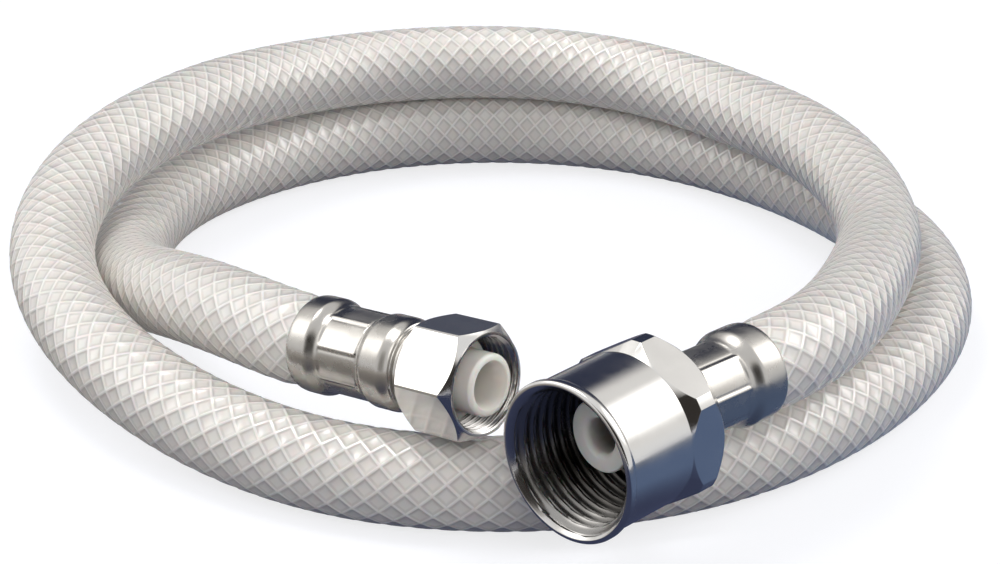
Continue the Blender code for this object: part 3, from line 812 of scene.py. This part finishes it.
bpy.ops.mesh.primitive_plane_add(size=FLOOR_SIZE, location=(0, 0, 0))
floor = bpy.context.object
floor.name = "floor"
paper, tree, shader = new_material("pale_paper")
tree.nodes.remove(shader)
matte = put(tree, "ShaderNodeBsdfDiffuse", {"Color": FLOOR_GREY})
unlit = put(tree, "ShaderNodeEmission", {"Color": WHITE, "Strength": 0.0})
glow = put(tree, "ShaderNodeEmission", {"Color": WHITE, "Strength": FLOOR_GLOW})
lit = put(tree, "ShaderNodeMixShader", {0: seen_white(tree), 1: unlit.outputs[0],
          2: glow.outputs[0]})
surface(tree, put(tree, "ShaderNodeAddShader", {0: matte.outputs[0], 1: lit.outputs[0]}))
floor.data.materials.append(paper)

world = bpy.data.worlds.new("studio")
bpy.context.scene.world = world
world.use_nodes = True
tree = world.node_tree
feed(tree, tree.nodes["Background"], {"Color": blend(tree, seen_white(tree), ROOM_GREY, WHITE)})


def card(name, low, high):
    """Flat card between two corners, seen only in reflections; returns its node tree and
    the places on it."""
    low, high = Vector(low), Vector(high)
    bpy.ops.object.select_all(action="DESELECT")
    bpy.ops.mesh.primitive_plane_add(size=1.0)
    sheet = bpy.context.object
    sheet.name = name
    size = high - low
    if size.z > size.y:
        sheet.data.transform(Matrix.Rotation(math.radians(90), 4, "X"))
    spread = Matrix.Diagonal((max(size.x, MM), max(size.y, MM), max(size.z, MM), 1.0))
    sheet.data.transform(Matrix.Translation((low + high) / 2) @ spread)
    sheet.visible_camera = False
    sheet.visible_diffuse = False
    sheet.visible_shadow = False
    finish, tree, shader = new_material(name)
    tree.nodes.remove(shader)
    sheet.data.materials.append(finish)
    spot = put(tree, "ShaderNodeTexCoord").outputs["Object"]
    return tree, put(tree, "ShaderNodeSeparateXYZ", {0: spot}).outputs


def paint_card(tree, base, layers):
    """Lights a card in a base colour with others over it, each as its place on one axis,
    where it starts and where it is full, and the colour."""
    paint = (*base, 1)
    for place, start, end, colour in layers:
        paint = blend(tree, fade(tree, place, start, end), paint, (*colour, 1))
    surface(tree, put(tree, "ShaderNodeEmission", {"Color": paint, "Strength": 1.0}))


tree, at = card("card_behind", low=(-1.3, 1.0, 0.0), high=(1.7, 1.0, 1.7))
paint_card(tree, SLATE, ((at["Z"], 0.10, 0.26, NAVY), (at["Z"], 0.95, 1.5, BRIGHT),
                         (at["X"], 0.45, 1.3, BRIGHT), (at["X"], -0.3, -1.1, BRIGHT)))
tree, at = card("card_at_camera", low=(-0.8, -0.7, 0.0), high=(0.8, -0.7, 0.9))
paint_card(tree, SOOT, ((at["Z"], 0.5, 0.85, BRIGHT), (at["X"], 0.4, 0.75, GREY),
                        (at["X"], -0.4, -0.75, WARM_GREY)))
tree, at = card("card_on_floor", low=(-0.30, -0.35, 0.00004), high=(0.40, 0.30, 0.00004))
paint_card(tree, DEEP_BLUE, ((at["X"], 0.03, 0.06, STEEL_BLUE), (at["X"], 0.11, 0.20, DULL_BLUE),
                             (at["X"], -0.01, -0.07, TAUPE), (at["X"], -0.07, -0.16, SAND),
                             (at["X"], 0.28, 0.38, STONE), (at["Y"], 0.06, 0.22, DUSK)))


def soft_box(name, place, aim, size, peak):
    """Square soft box that glows most at its middle and fades to the white round it."""
    place = Vector(place)
    bpy.ops.object.select_all(action="DESELECT")
    bpy.ops.mesh.primitive_plane_add(size=size)
    box = bpy.context.object
    box.name = name
    facing = (Vector(aim) - place).to_track_quat("Z", "Y").to_matrix().to_4x4()
    box.data.transform(Matrix.Translation(place) @ facing)
    box.visible_camera = False
    box.visible_shadow = False
    finish, tree, shader = new_material(name)
    tree.nodes.remove(shader)
    spot = put(tree, "ShaderNodeTexCoord").outputs["Object"]
    off_middle = put(tree, "ShaderNodeVectorMath", {0: spot, 1: place}, operation="DISTANCE")
    power = fade(tree, off_middle.outputs["Value"], 0.0, size / 2, peak, 1.0)
    surface(tree, put(tree, "ShaderNodeEmission", {"Color": BOX_WHITE, "Strength": power}))
    box.data.materials.append(finish)


soft_box("left_box", place=(-0.62, 0.02, 0.40), aim=(0, 0, 0.02), size=0.70, peak=3.6)
soft_box("right_box", place=(0.60, 0.12, 0.45), aim=(0, 0, 0.02), size=0.70, peak=5.2)
soft_box("over_box", place=(-0.26, 0.06, 0.82), aim=(0, 0, 0), size=0.50, peak=14.0)
bpy.ops.object.light_add(type="AREA", location=(0.15, -0.75, 0.45))
lamp = bpy.context.object
lamp.name = "front_lamp"
lamp.data.size = 0.5
lamp.data.energy = 2.6
lamp.data.color = (1.0, 0.98, 0.95)
lamp.rotation_euler = (-lamp.location).to_track_quat("-Z", "Y").to_euler()
lamp.visible_glossy = False
